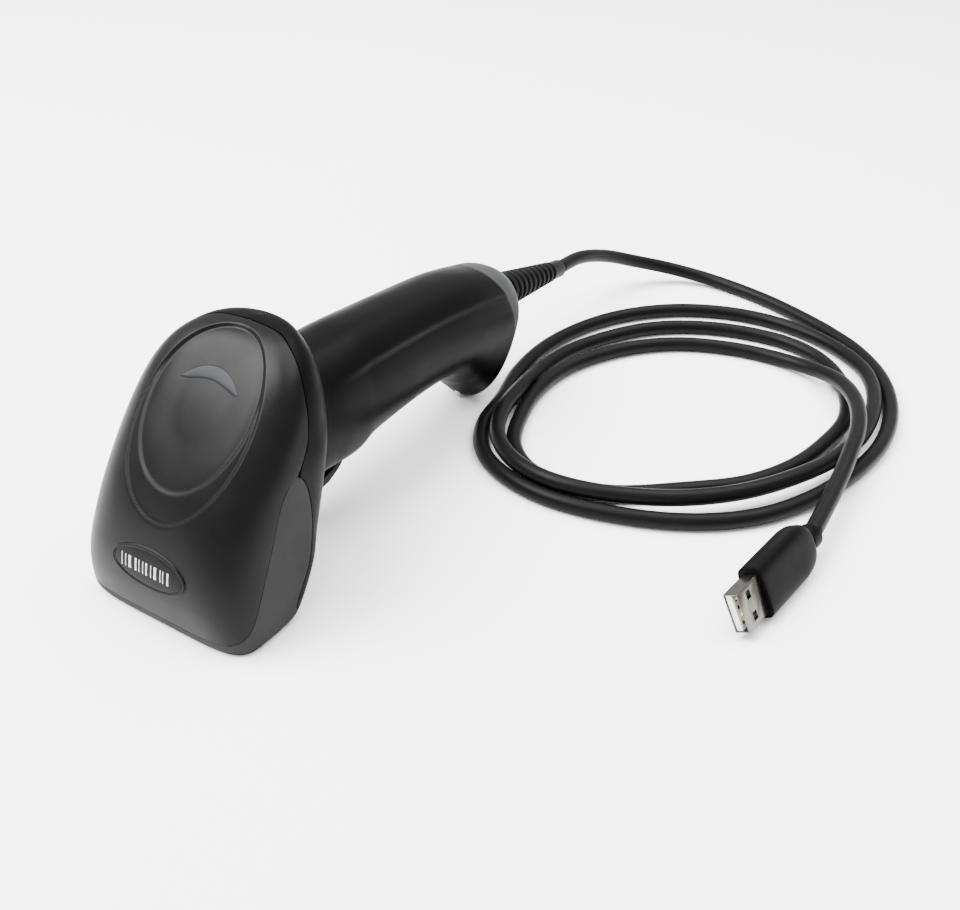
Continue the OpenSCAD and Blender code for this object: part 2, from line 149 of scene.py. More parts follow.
# Section of the badge's raised rim: half length of the oval, and height above the nose
BADGE_RIM = ((13.7, 0.2), (13.5, 0.42), (12.9, 0.42), (12.7, 0.2))

# Widths of the badge's bars, from one end to the other
BAR_WIDTHS = (1.1, 0.5, 0.5, 1.6, 0.5, 1.1, 0.5, 0.5, 1.1, 1.6, 0.5, 0.5)
BAR_HALF_H = 2.9
BAR_FROM = -8.0
BAR_GAPS = (0.9, 0.5)

CORD_D = 5.7
CORD_ROUTE = [
    (231, 0, 25.8), (250, -1, 24.5), (270, -4, 19), (288, -11, 12), (301, -23, 7), (307, -38, 4),
    (306, -55, 3), (301, -72, 3), (294, -88, 3), (286, -103, 3), (274, -119, 3), (256, -133, 3),
    (233, -142, 3), (208, -145, 3), (184, -142, 3), (161, -135, 3), (141, -124, 3),
    (126, -108, 3), (116, -88, 3), (111, -66, 3), (113, -47, 3), (122, -31, 3), (138, -21, 3),
    (158, -17, 3), (180, -11.5, 3), (204, -10, 3), (228, -14, 3), (249, -23, 3), (266, -37, 3),
    (277, -54, 3), (282, -73, 3), (280, -93, 3.2), (271.5, -111, 3.6), (257, -126, 4),
    (235, -135, 4.5), (209, -138, 5), (185, -135, 6), (163, -127, 7), (144, -115, 7),
    (129, -99, 7), (119, -80, 7), (115, -62, 7), (118, -46, 7), (128, -33, 7), (144, -25, 7),
    (164, -21, 6), (186, -18, 3.4), (208, -20, 3), (229, -28, 3), (246, -39, 3), (258, -54, 3),
    (265, -72, 3), (266, -92, 3), (258, -109, 3), (241, -122, 3), (219, -129, 3), (197, -128, 3),
    (175, -123, 3), (156, -113, 3), (140, -97, 3), (126, -80, 3), (120, -63, 3), (122, -49, 3),
    (132.5, -37, 3), (150, -29.5, 3), (171, -25, 3), (192, -25.5, 3), (212, -32, 3),
    (229, -43, 3), (241, -57, 3), (248, -74, 3), (250, -90, 3.2), (247, -105, 4.5),
    (239, -117, 7.5), (228, -126, 10), (214, -133, 11.4), (198, -137.5, 11.6),
    (181, -139.5, 10.6), (165, -140.7, 9.2), (149, -141.5, 8.5), (133.5, -142, 8.2),
]


# ---- camera ----

CAMERA_AT = (-157.2, -191.7, 210.75)
CAMERA_LOOK = Vector((0.711, 0.4447, -0.5446))
CAMERA_ROLL = math.radians(1.5)
CAMERA_LENS = 41.29
CAMERA_SHIFT = 0.0313


def make_camera():
    data = bpy.data.cameras.new("camera")
    data.lens = CAMERA_LENS
    data.sensor_width = 36
    data.shift_x = CAMERA_SHIFT
    data.clip_start = 0.01
    data.clip_end = 50
    camera = bpy.data.objects.new("camera", data)
    bpy.context.scene.collection.objects.link(camera)
    look = CAMERA_LOOK.normalized()
    level = look.cross(Vector((0, 0, 1))).normalized()
    upright = level.cross(look)
    right = level * math.cos(CAMERA_ROLL) + upright * math.sin(CAMERA_ROLL)
    up = upright * math.cos(CAMERA_ROLL) - level * math.sin(CAMERA_ROLL)
    camera.matrix_world = Matrix.Translation(place(*CAMERA_AT)) @ Matrix(
        (right, up, -look)
    ).transposed().to_4x4()
    bpy.context.scene.camera = camera


# ---- curves and sections ----


def blend4(a, b, c, d, t):
    """The point at t, from 0 to 1, between rows b and c of a smooth curve."""
    return tuple(
        0.5 * (2 * q + (r - p) * t + (2 * p - 5 * q + 4 * r - s) * t**2
               + (3 * q - p - 3 * r + s) * t**3)
        for p, q, r, s in zip(a, b, c, d)
    )


def along(rows, t):
    """The row at t along the smooth curve through all rows."""
    last = len(rows) - 1
    i = max(0, min(int(math.floor(t)), last - 1))
    b, c = rows[i], rows[i + 1]
    a = rows[i - 1] if i > 0 else tuple(2 * p - q for p, q in zip(b, c))
    d = rows[i + 2] if i + 2 <= last else tuple(2 * q - p for p, q in zip(b, c))
    return blend4(a, b, c, d, t - i)


def smooth_line(points, steps=12):
    count = (len(points) - 1) * steps
    return [along(points, i / steps) for i in range(count + 1)]


def look_up(line, key):
    """Value at key along a line of (key, value) pairs with rising keys."""
    if key <= line[0][0]:
        return line[0][1]
    for (k0, v0), (k1, v1) in zip(line, line[1:]):
        if key <= k1:
            return v0 + (v1 - v0) * (key - k0) / max(k1 - k0, 1e-9)
    return line[-1][1]


def round_point(angle, n):
    """Point of a unit superellipse in the direction of angle."""
    c, s = math.cos(angle), math.sin(angle)
    k = (abs(c) ** n + abs(s) ** n) ** (-1 / n)
    return k * c, k * s


def head_point(row, angle):
    z, front, seam, back, half, n_front, n_back = row
    facing_back = math.cos(angle) >= 0
    u, v = round_point(angle, n_back if facing_back else n_front)
    reach = back - seam if facing_back else seam - front
    return Vector((seam + u * reach, v * half, z))


def head_angle(row, x):
    """Angle at which a level of the head reaches x, on its +Y side."""
    z, front, seam, back, half, n_front, n_back = row
    if x >= seam:
        u = min((x - seam) / max(back - seam, 1e-6), 1)
        return math.atan2((1 - u**n_back) ** (1 / n_back), u)
    u = min((seam - x) / max(seam - front, 1e-6), 1)
    return math.atan2((1 - u**n_front) ** (1 / n_front), -u)


def head_level(z):
    """The head's row at a height."""
    low, high = 0.0, len(HEAD_ROWS) - 1.0
    for _ in range(40):
        mid = (low + high) / 2
        if along(HEAD_ROWS, mid)[0] < z:
            low = mid
        else:
            high = mid
    return along(HEAD_ROWS, low)


def nose_x(y, z):
    """Where the front of the head is, at a height and a distance off the middle."""
    _, front, seam, _, half, n_front, _ = head_level(z)
    v = min(abs(y) / half, 1)
    return seam - (seam - front) * (1 - v**n_front) ** (1 / n_front)


def nose_point(y, z, lift=0.0):
    """Point of the head's front surface, lifted off it along its normal."""
    step = 0.05
    point = Vector((nose_x(y, z), y, z))
    across = Vector((nose_x(y + step, z) - nose_x(y - step, z), 2 * step, 0))
    upward = Vector((nose_x(y, z + step) - nose_x(y, z - step), 0, 2 * step))
    normal = upward.cross(across).normalized()
    if normal.x > 0:
        normal = -normal
    return point + normal * lift, normal


def smooth_step(t):
    t = max(0.0, min(1.0, t))
    return t * t * (3 - 2 * t)


def crease(t, angle):
    """How far the flank is drawn in, from 0 to 1, under the crease along the handle's side."""
    turned = abs((angle + math.pi) % (2 * math.pi) - math.pi)
    past = math.degrees(turned) - CREASE_ANGLE
    ends = smooth_step((t - 2) / 1.5) * (1 - smooth_step((t - 6.5) / 2.5))
    return ends * smooth_step(past / 4) * (1 - smooth_step((past - 4) / 55))


def handle_point(t, angle):
    """Point of the handle's skin; the angle is 0 at its back and half a turn at the trigger."""
    x, z, tilt, back, down, half = along(HANDLE_ROWS, t)
    u, v = round_point(angle, HANDLE_ROUNDNESS)
    near = 1 - CREASE_DEPTH / half * crease(t, angle)
    reach = near * u * (back if u > 0 else down)
    lean = math.radians(tilt)
    return Vector((x - reach * math.sin(lean), near * v * half, z + reach * math.cos(lean)))


# ---- meshes ----


def new_object(name, bm, body="scanner"):
    mesh = bpy.data.meshes.new(name)
    bm.normal_update()
    bm.to_mesh(mesh)
    bm.free()
    obj = bpy.data.objects.new(name, mesh)
    bpy.context.scene.collection.objects.link(obj)
    for polygon in mesh.polygons:
        polygon.use_smooth = True
    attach(obj, body)
    return obj


def add_grid(bm, rows, closed=False, skip=None):
    """Adds a grid of faces over rows of points; skip(i, j) leaves a face out."""
    verts = [[bm.verts.new(place(*p)) for p in row] for row in rows]
    width = len(rows[0])
    for i in range(len(rows) - 1):
        for j in range(width if closed else width - 1):
            if skip and skip(i, j):
                continue
            k = (j + 1) % width
            bm.faces.new((verts[i][j], verts[i][k], verts[i + 1][k], verts[i + 1][j]))
    return verts


def tidy(bm, gap=0.00001):
    """Merges points that meet, drops collapsed faces and loose points."""
    bmesh.ops.remove_doubles(bm, verts=bm.verts, dist=gap)
    bmesh.ops.dissolve_degenerate(bm, dist=gap / 4, edges=bm.edges)
    loose = [v for v in bm.verts if not v.link_faces]
    bmesh.ops.delete(bm, geom=loose, context="VERTS")


def face_outwards(bm, centre):
    """Turns an open skin's faces away from a point inside it."""
    bmesh.ops.recalc_face_normals(bm, faces=bm.faces)
    total = sum((f.calc_center_median() - centre).dot(f.normal) * f.calc_area() for f in bm.faces)
    if total < 0:
        bmesh.ops.reverse_faces(bm, faces=bm.faces)


def thicken(obj, wall, edge_r=0.3):
    """Gives a skin its wall, inwards, and rounds the edges that this makes."""
    shell = obj.modifiers.new("wall", "SOLIDIFY")
    shell.thickness = wall * MM
    shell.offset = -1
    round_edges(obj, edge_r, 50)


def round_edges(obj, r, angle=35, segments=3):
    bevel = obj.modifiers.new("edges", "BEVEL")
    bevel.width = r * MM
    bevel.segments = segments
    bevel.limit_method = "ANGLE"
    bevel.angle_limit = math.radians(angle)
    bevel.harden_normals = False
    bevel.use_clamp_overlap = True


# ---- materials ----


class Nodes:
    """Short calls for building one material's nodes."""

    def __init__(self, name):
        self.material = bpy.data.materials.new(name)
        self.material.use_nodes = True
        self.tree = self.material.node_tree
        self.shader = self.tree.nodes["Principled BSDF"]
        self.place = self.add("ShaderNodeTexCoord").outputs["Object"]

    def add(self, kind, **values):
        node = self.tree.nodes.new(kind)
        for key, value in values.items():
            setattr(node, key, value)
        return node

    def link(self, a, b):
        self.tree.links.new(a, b)

    def noise(self, scale, detail=3, rough=0.5):
        node = self.add("ShaderNodeTexNoise")
        node.inputs["Scale"].default_value = scale
        node.inputs["Detail"].default_value = detail
        node.inputs["Roughness"].default_value = rough
        self.link(self.place, node.inputs["Vector"])
        return node.outputs["Fac"]

    def cells(self, scale):
        node = self.add("ShaderNodeTexVoronoi", feature="SMOOTH_F1")
        node.inputs["Scale"].default_value = scale
        self.link(self.place, node.inputs["Vector"])
        return node.outputs["Distance"]

    def spread(self, value, low, high):
        """Maps 0.3 to 0.7 onto low to high."""
        node = self.add("ShaderNodeMapRange")
        for key, number in zip(("From Min", "From Max", "To Min", "To Max"), (0.3, 0.7, low, high)):
            node.inputs[key].default_value = number
        self.link(value, node.inputs["Value"])
        return node.outputs["Result"]

    def mix(self, factor, a, b):
        node = self.add("ShaderNodeMix", data_type="RGBA")
        self.link(factor, node.inputs["Factor"])
        node.inputs[6].default_value = (*a, 1)
        node.inputs[7].default_value = (*b, 1)
        return node.outputs[2]

    def bump(self, height, distance, strength=1.0, under=None):
        node = self.add("ShaderNodeBump")
        node.inputs["Strength"].default_value = strength
        node.inputs["Distance"].default_value = distance
        self.link(height, node.inputs["Height"])
        if under is not None:
            self.link(under, node.inputs["Normal"])
        return node.outputs["Normal"]


def moulded(name, dark, light, rough, grain=2600, depth=0.00002, spec=0.5):
    """Moulded plastic: fine spark texture, slight flow marks, uneven sheen."""
    n = Nodes(name)
    flow = n.noise(38, 4)
    n.link(n.mix(n.spread(flow, 0, 1), dark, light), n.shader.inputs["Base Color"])
    n.link(n.spread(n.noise(90, 5), rough - 0.05, rough + 0.05), n.shader.inputs["Roughness"])
    n.shader.inputs["Specular IOR Level"].default_value = spec
    coarse = n.bump(n.cells(grain), depth, 0.5)
    n.link(n.bump(n.noise(grain * 1.7, 2), depth / 2, 0.5, coarse), n.shader.inputs["Normal"])
    return n.material


def grey(value):
    return (value, value, value * 1.03)


MATERIALS = {}


def make_materials():
    m = MATERIALS
    m["housing"] = moulded("housing_plastic", grey(0.001), grey(0.0015), 0.4, spec=0.03)
    m["cover"] = moulded("cover_plastic", grey(0.002), grey(0.0028), 0.36, spec=0.08)
    m["bumper"] = moulded("bumper_rubber", (0.017, 0.0175, 0.017), (0.021, 0.0215, 0.021), 0.6, 1800,
                          spec=0.04)
    m["cap"] = moulded("cap_plastic", (0.025, 0.026, 0.026), (0.03, 0.031, 0.031), 0.5, spec=0.05)
    m["bezel"] = moulded("bezel_plastic", grey(0.003), grey(0.004), 0.55, spec=0.08)
    m["trigger"] = moulded("trigger_plastic", grey(0.002), grey(0.003), 0.36, spec=0.06)
    m["badge"] = moulded("badge_plastic", grey(0.001), grey(0.0015), 0.22, 5200, 0.000004, spec=0.06)
    m["badge_print"] = moulded("badge_print", grey(0.4), grey(0.46), 0.4, 5200, 0.000004)
    m["light"] = moulded("light_diffuser", (0.0055, 0.0059, 0.008), (0.0075, 0.008, 0.0105), 0.3, 4200,
                         0.000005, spec=0.08)
    m["cable"] = moulded("cable_rubber", grey(0.0018), grey(0.0026), 0.42, 1500, 0.00003, spec=0.06)
    m["boot"] = moulded("boot_rubber", grey(0.002), grey(0.003), 0.5, 1700, 0.00003, spec=0.05)
    m["plug"] = moulded("plug_plastic", grey(0.001), grey(0.0014), 0.45, spec=0.03)
    m["black"] = moulded("component_black", grey(0.008), grey(0.012), 0.5)
    m["white"] = moulded("white_plastic", grey(0.6), grey(0.68), 0.5)
    m["bracket"] = moulded("bracket_plastic", grey(0.16), grey(0.2), 0.5)
    m["film"] = moulded("flex_film", (0.42, 0.16, 0.02), (0.5, 0.2, 0.03), 0.3)
    m["clear"] = moulded("clear_plastic", (0.5, 0.53, 0.55), (0.58, 0.6, 0.62), 0.2)
    m["board"] = board_material()
    m["steel"] = metal("plug_steel", (0.12, 0.11, 0.095), 0.3, 900)
    m["screw"] = metal("screw_steel", (0.5, 0.51, 0.52), 0.35, 700)
    m["gold"] = metal("gold_contact", (0.85, 0.62, 0.25), 0.25, 900)
    m["brass"] = metal("aimer_brass", (0.6, 0.45, 0.2), 0.35, 900)
    m["window"] = window_material()


def metal(name, colour, rough, streaks):
    """Drawn or plated metal with fine streaks along X."""
    n = Nodes(name)
    n.shader.inputs["Metallic"].default_value = 1
    mapping = n.add("ShaderNodeMapping")
    mapping.inputs["Scale"].default_value = (0.1, 1, 1)
    n.link(n.place, mapping.inputs["Vector"])
    n.place = mapping.outputs["Vector"]
    lines = n.noise(streaks * 6, 4, 0.7)
    dark = tuple(0.85 * c for c in colour)
    n.link(n.mix(n.spread(lines, 0, 1), dark, colour), n.shader.inputs["Base Color"])
    n.link(n.spread(lines, rough - 0.07, rough + 0.08), n.shader.inputs["Roughness"])
    n.link(n.bump(lines, 0.000004, 0.4), n.shader.inputs["Normal"])
    return n.material


def board_material():
    """Solder mask over faint copper tracks."""
    n = Nodes("circuit_board")
    tracks = n.add("ShaderNodeTexBrick", offset=0.5)
    tracks.inputs["Scale"].default_value = 420
    tracks.inputs["Color1"].default_value = (0.01, 0.09, 0.04, 1)
    tracks.inputs["Color2"].default_value = (0.012, 0.11, 0.045, 1)
    tracks.inputs["Mortar"].default_value = (0.02, 0.16, 0.07, 1)
    tracks.inputs["Mortar Size"].default_value = 0.03
    n.link(n.place, tracks.inputs["Vector"])
    n.link(tracks.outputs["Color"], n.shader.inputs["Base Color"])
    n.link(n.spread(n.noise(300), 0.3, 0.42), n.shader.inputs["Roughness"])
    n.link(n.bump(tracks.outputs["Fac"], 0.00003, 0.4), n.shader.inputs["Normal"])
    return n.material


def window_material():
    """Dark red acrylic filter, with a trace of dust."""
    n = Nodes("window_acrylic")
    n.link(n.mix(n.spread(n.noise(60), 0, 1), (0.12, 0.004, 0.008), (0.16, 0.006, 0.01)),
           n.shader.inputs["Base Color"])
    n.link(n.spread(n.noise(700, 5), 0.06, 0.14), n.shader.inputs["Roughness"])
    n.shader.inputs["Coat Weight"].default_value = 0.5
    n.shader.inputs["Transmission Weight"].default_value = 0.4
    n.link(n.bump(n.noise(200), 0.00001, 0.3), n.shader.inputs["Normal"])
    return n.material


def dress(obj, key):
    obj.data.materials.clear()
    obj.data.materials.append(MATERIALS[key])


# ---- cord ----


CORD_SIDES = 24


def make_cord(line):
    """A tube along a line of points."""
    up = Vector((0, 0, 1))
    rows = []
    for i, at in enumerate(line):
        ahead = (line[min(i + 1, len(line) - 1)] - line[max(i - 1, 0)]).normalized()
        side = ahead.cross(up).normalized()
        over = side.cross(ahead)
        rows.append([
            at + CORD_D / 2 * (math.cos(a) * side + math.sin(a) * over)
            for a in (2 * math.pi * k / CORD_SIDES for k in range(CORD_SIDES))
        ])
    bm = bmesh.new()
    verts = add_grid(bm, rows, closed=True)
    bm.faces.new(verts[0])
    bm.faces.new(verts[-1])
    bmesh.ops.recalc_face_normals(bm, faces=bm.faces)
    obj = new_object("cord_line", bm)
    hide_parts("cord")
    dress(obj, "cable")
    return obj


# ---- head ----

FINE_LEVELS = 800
HEAD_LEVELS = 190
COVER_COLUMNS = 200
HOUSING_COLUMNS = 90
RING_LEVELS = 10
LEAF_COLUMNS = 44
LEAF_LEVELS = 100


def levels(low, high, count):
    """Rows of the head from low to high, closer together where the head closes at its top."""
    rows = [along(HEAD_ROWS, (len(HEAD_ROWS) - 1) * i / FINE_LEVELS) for i in range(FINE_LEVELS + 1)]
    rows = [r for r in rows if low <= r[0] <= high]
    picked = [rows[round(i * (len(rows) - 1) / (count - 1))] for i in range(count)]
    return [head_level(low)] + picked[1:]


def dish_depth(x, y, z):
    """How deep the dish is pressed below the face at a point: two crisp steps, then a bowl."""
    rel = Vector((x, y, z)) - DISH_AT
    run = rel.dot(Vector((math.cos(FACE_LEAN), 0, math.sin(FACE_LEAN))))
    outer = math.hypot((run - DISH_RUN) / DISH_HALF_L, y / DISH_HALF_W)
    inner = math.hypot((run - BOWL_RUN) / BOWL_HALF_L, y / BOWL_HALF_W)
    rim = smooth_step((1 - outer) * RIM_STEEPNESS)
    lip = smooth_step((1 - inner) * LIP_STEEPNESS)
    bowl = smooth_step((1 - inner) * BOWL_STEEPNESS)
    return RIM_DEPTH * rim + LIP_DEPTH * lip + BOWL_DEPTH * bowl


def press_dish(bm):
    bm.normal_update()
    for v in bm.verts:
        x = v.co.x / MM + MID_X
        depth = dish_depth(x, v.co.y / MM, v.co.z / MM)
        if depth > 0 and x < HEAD_TOP_X:
            v.co -= v.normal * depth * MM


def span(row, start, end, count):
    return [head_point(row, start + (end - start) * j / (count - 1)) for j in range(count)]


def make_cover():
    edge = smooth_line(COVER_EDGE)
    rows = []
    for row in levels(COVER_EDGE[0][0], HEAD_TOP_Z - 0.05, HEAD_LEVELS):
        a = head_angle(row, look_up(edge, row[0]) - SEAM_GAP / 2)
        rows.append(span(row, a, 2 * math.pi - a, COVER_COLUMNS))
    bm = bmesh.new()
    add_grid(bm, rows)
    tidy(bm)
    face_outwards(bm, place(30, 0, 35))
    press_dish(bm)
    obj = new_object("cover_shell", bm)
    thicken(obj, HEAD_WALL)
    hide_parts("top_cover")
    dress(obj, "cover")
    return obj


def head_back_rows():
    edge = smooth_line(HOUSING_EDGE)
    rows = []
    for row in levels(HOUSING_EDGE[0][0] + 0.2, HEAD_TOP_Z - 0.01, HEAD_LEVELS):
        a = head_angle(row, look_up(edge, row[0]) + SEAM_GAP / 2)
        rows.append(span(row, -a, a, HOUSING_COLUMNS))
    top = (HEAD_TOP_X, 0, HEAD_TOP_Z)
    return rows + [[top] * HOUSING_COLUMNS]


def inside(point, loop):
    x, z = point
    hit = False
    for (x0, z0), (x1, z1) in zip(loop, loop[1:] + loop[:1]):
        if (z0 > z) != (z1 > z) and x < (x1 - x0) * (z - z0) / (z1 - z0) + x0:
            hit = not hit
    return hit


CAP_SIDE = smooth_line(CAP_EDGE) + [(196, -6), (196, 64)]
HANDLE_START = 0.45
HANDLE_END = float(len(HANDLE_ROWS) - 1)


def cap_crossing(angle):
    """How far along the handle the cap begins, on the line at one angle."""
    def capped(t):
        p = handle_point(t, angle)
        return inside((p.x, p.z), CAP_SIDE)

    low = 4.0
    while not capped(low) and low < HANDLE_END:
        low += 0.02
    high, low = low, low - 0.02
    for _ in range(20):
        mid = (low + high) / 2
        if capped(mid):
            high = mid
        else:
            low = mid
    return low


def station(x, angle=math.pi):
    """How far along the handle its skin reaches x."""
    low, high = 0.0, 5.0
    for _ in range(40):
        mid = (low + high) / 2
        if handle_point(mid, angle).x < x:
            low = mid
        else:
            high = mid
    return low


LEAD_ROWS = 8
SLOT_ROWS = 60
SLOT_COLUMNS = 14
SIDE_COLUMNS = 122


def handle_angles(t):
    """Angles round the handle, with two of them at the edges of the trigger's slot."""
    half = along(HANDLE_ROWS, min(t, 7))[5]
    v = SLOT_HALF_W / half
    u = (1 - v**HANDLE_ROUNDNESS) ** (1 / HANDLE_ROUNDNESS)
    edge = math.pi - math.atan2(v, u)
    sides = [-edge + 2 * edge * j / SIDE_COLUMNS for j in range(SIDE_COLUMNS)]
    slot = [edge + 2 * (math.pi - edge) * j / SLOT_COLUMNS for j in range(SLOT_COLUMNS)]
    return sides + slot


def handle_stations():
    """Stations up to the slot's end, each a row of its own, and how many of them bound the slot."""
    first, last = station(SLOT_X[0]), station(SLOT_X[1])
    lead = [HANDLE_START + (first - HANDLE_START) * i / LEAD_ROWS for i in range(LEAD_ROWS)]
    slot = [first + (last - first) * i / SLOT_ROWS for i in range(SLOT_ROWS + 1)]
    return lead + slot, len(lead), len(lead) + len(slot) - 1


BACK_ROWS = 130
CAP_ROWS = 60


def handle_columns():
    """Each column's angle behind the slot, and where the cap begins on it."""
    angles = handle_angles(station(SLOT_X[1]))
    return angles, [cap_crossing(a) for a in angles]


def make_housing(columns):
    bm = bmesh.new()
    add_grid(bm, head_back_rows())
    tidy(bm)
    face_outwards(bm, place(28, 0, 35))
    stations, slot_from, slot_to = handle_stations()
    rows = [[handle_point(t, a) for a in handle_angles(t)] for t in stations]
    angles, ends = columns
    begin = stations[-1]
    for i in range(1, BACK_ROWS + 1):
        share = i / BACK_ROWS
        rows.append([
            handle_point(begin + (end - 0.02 - begin) * share, a) for a, end in zip(angles, ends)
        ])

    def in_slot(i, j):
        return slot_from <= i < slot_to and j >= SIDE_COLUMNS

    handle = bmesh.new()
    add_grid(handle, rows, closed=True, skip=in_slot)
    tidy(handle)
    face_outwards(handle, place(100, 0, 38))
    mesh = bpy.data.meshes.new("handle_part")
    handle.to_mesh(mesh)
    handle.free()
    bm.from_mesh(mesh)
    obj = new_object("housing_shell", bm)
    thicken(obj, HANDLE_WALL)
    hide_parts("main_housing")
    dress(obj, "housing")
    return obj


def make_cap(columns):
    angles, starts = columns
    rows = []
    for i in range(CAP_ROWS + 1):
        share = i / CAP_ROWS
        rows.append([
            handle_point(start + 0.02 + (HANDLE_END - start - 0.02) * share, a)
            for a, start in zip(angles, starts)
        ])
    bm = bmesh.new()
    verts = add_grid(bm, rows, closed=True)
    bm.faces.new(verts[-1])
    tidy(bm)
    face_outwards(bm, place(160, 0, 28))
    obj = new_object("cap_shell", bm)
    thicken(obj, HANDLE_WALL)
    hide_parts("end_cap")
    dress(obj, "cap")
    return obj


def make_bumper():
    front, rear = smooth_line(LEAF_FRONT), smooth_line(LEAF_REAR)
    low = [head_level(NOSE_RING_TOP * i / RING_LEVELS) for i in range(RING_LEVELS + 1)]
    bm = bmesh.new()
    ring_rows = []
    for row in low:
        below = 1 - row[0] / NOSE_RING_TOP
        a = head_angle(row, rear[0][1] - 6 * below**2)
        b = head_angle(row, front[0][1] + 1.6 * below)
        right = span(row, a, b, LEAF_COLUMNS)
        nose = span(row, b, 2 * math.pi - b, 2 * LEAF_COLUMNS)
        left = span(row, 2 * math.pi - b, 2 * math.pi - a, LEAF_COLUMNS)
        back = span(row, 2 * math.pi - a, 2 * math.pi + a, LEAF_COLUMNS)
        ring_rows.append(right[:-1] + nose[:-1] + left[:-1] + back[:-1])
    add_grid(bm, ring_rows, closed=True)
    for side in (1, -1):
        rows = []
        for i in range(LEAF_LEVELS + 1):
            row = head_level(NOSE_RING_TOP + (LEAF_TOP - NOSE_RING_TOP) * i / LEAF_LEVELS)
            a = head_angle(row, look_up(rear, row[0]))
            b = head_angle(row, look_up(front, row[0]))
            rows.append([Vector((p.x, side * p.y, p.z)) for p in span(row, a, b, LEAF_COLUMNS)])
        add_grid(bm, rows)
    tidy(bm, 0.00003)
    face_outwards(bm, place(14, 0, 12))
    obj = new_object("bumper_band", bm)
    thicken(obj, HEAD_WALL, 0.35)
    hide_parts("nose_bumper")
    dress(obj, "bumper")
    return obj


# ---- badge and status light ----


def add_patch(bm, outline, lift, depth, rings=8):
    """A slab on the nose inside an outline of (y, z), rising a little to its middle."""
    count = len(outline)
    cy = sum(p[0] for p in outline) / count
    cz = sum(p[1] for p in outline) / count
    rows = [[nose_point(y, z, -depth)[0] for y, z in outline]]
    for i in range(rings):
        share = 1 - i / rings
        crown = lift * min(1.0, (i + 1) / 3)
        rows.append([
            nose_point(cy + (y - cy) * share, cz + (z - cz) * share, crown)[0] for y, z in outline
        ])
    rows.append([nose_point(cy, cz, lift)[0]] * count)
    add_grid(bm, rows, closed=True)


def oval_outline(half_y, half_z, count=96):
    return [
        (half_y * math.cos(2 * math.pi * i / count),
         BADGE_Z + half_z * math.sin(2 * math.pi * i / count))
        for i in range(count)
    ]


def make_badge():
    bm = bmesh.new()
    add_patch(bm, oval_outline(BADGE_HALF_L, BADGE_HALF_H), 0.25, 0.8)
    tidy(bm)
    face_outwards(bm, place(10, 0, 20))
    obj = new_object("badge_oval", bm)
    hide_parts("badge_plate")
    dress(obj, "badge")
    rim = bmesh.new()
    loops = []
    for half_l, lift in BADGE_RIM:
        outline = oval_outline(half_l, half_l - BADGE_HALF_L + BADGE_HALF_H)
        loops.append([nose_point(y, z, lift)[0] for y, z in outline])
    add_grid(rim, loops, closed=True)
    face_outwards(rim, place(10, 0, 20))
    ring = new_object("badge_ring", rim)
    dress(ring, "bezel")
    bars = bmesh.new()
    y = BAR_FROM
    low, high = BADGE_Z - BAR_HALF_H, BADGE_Z + BAR_HALF_H
    for i, width in enumerate(BAR_WIDTHS):
        add_patch(bars, [(y, low), (y + width, low), (y + width, high), (y, high)], 0.36, 0.0, 3)
        y += width + BAR_GAPS[i % 2]
    tidy(bars)
    face_outwards(bars, place(10, 0, 20))
    mark = new_object("badge_bars", bars)
    dress(mark, "badge_print")


LIGHT_HALF_W = 10.4
LIGHT_TOP_Z = 69.3
LIGHT_DROP = 4.3
LIGHT_WIDTH = 3.1


def crescent_side(count):
    """Outer and inner edge of the status light, as (y, z) pairs from tip to tip."""
    pairs = []
    for i in range(count + 1):
        k = -1 + 2 * i / count
        y = LIGHT_HALF_W * k
        outer = LIGHT_TOP_Z - LIGHT_DROP * abs(k) ** 2.2
        width = LIGHT_WIDTH * (1 - abs(k) ** 3) ** 0.8
        pairs.append(((y, outer), (y * 0.97, outer - width)))
    return pairs


def make_light():
    pairs = crescent_side(90)

    def at(y, z, lift):
        p, normal = nose_point(y, z)
        return p + normal * (lift - dish_depth(*p))

    rows = []
    steps = 8
    for i in range(steps + 1):
        share = i / steps
        crown = 0.16 * math.sin(math.pi * share) ** 0.5
        rows.append([
            at(a[0] + (b[0] - a[0]) * share, a[1] + (b[1] - a[1]) * share, crown - 0.02)
            for a, b in pairs
        ])
    under = [[at(*edge, -1.5) for edge in side] for side in zip(*pairs)]
    bm = bmesh.new()
    add_grid(bm, [under[0]] + rows + [under[1]] + [under[0]])
    tidy(bm)
    face_outwards(bm, place(32, 0, 60))
    obj = new_object("status_crescent", bm)
    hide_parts("light_pipe")
    dress(obj, "light")


# ---- strain relief ----

BOOT_FROM = (173, 0, 35)
BOOT_PITCH = math.radians(9)
BOOT_L = 58
BOOT_RIBS = 11
BOOT_BASE_R = 7.6
BOOT_TIP_R = 4.1
BOOT_COLLAR = 7


def boot_profile():
    pitch = (BOOT_L - BOOT_COLLAR - 4) / BOOT_RIBS
    points = [(9, -4), (9, -2.5), (BOOT_BASE_R, -2)]
    for i in range(BOOT_RIBS):
        r = BOOT_BASE_R + (BOOT_TIP_R - BOOT_BASE_R) * i / BOOT_RIBS
        z = 4 + pitch * i
        points += [(r - 0.1, z - 0.25), (r, z - 0.05), (r - 0.35, z + 0.1), (r - 1.3, z + 0.25),
                   (r - 1.35, z + 0.38 * pitch), (r - 0.5, z + 0.42 * pitch), (r - 0.15, z + 0.5 * pitch)]
    points += [(3.8, BOOT_L - BOOT_COLLAR), (3.7, BOOT_L + 0.3), (3.4, BOOT_L + 0.9), (2.7, BOOT_L + 0.9)]
    return points


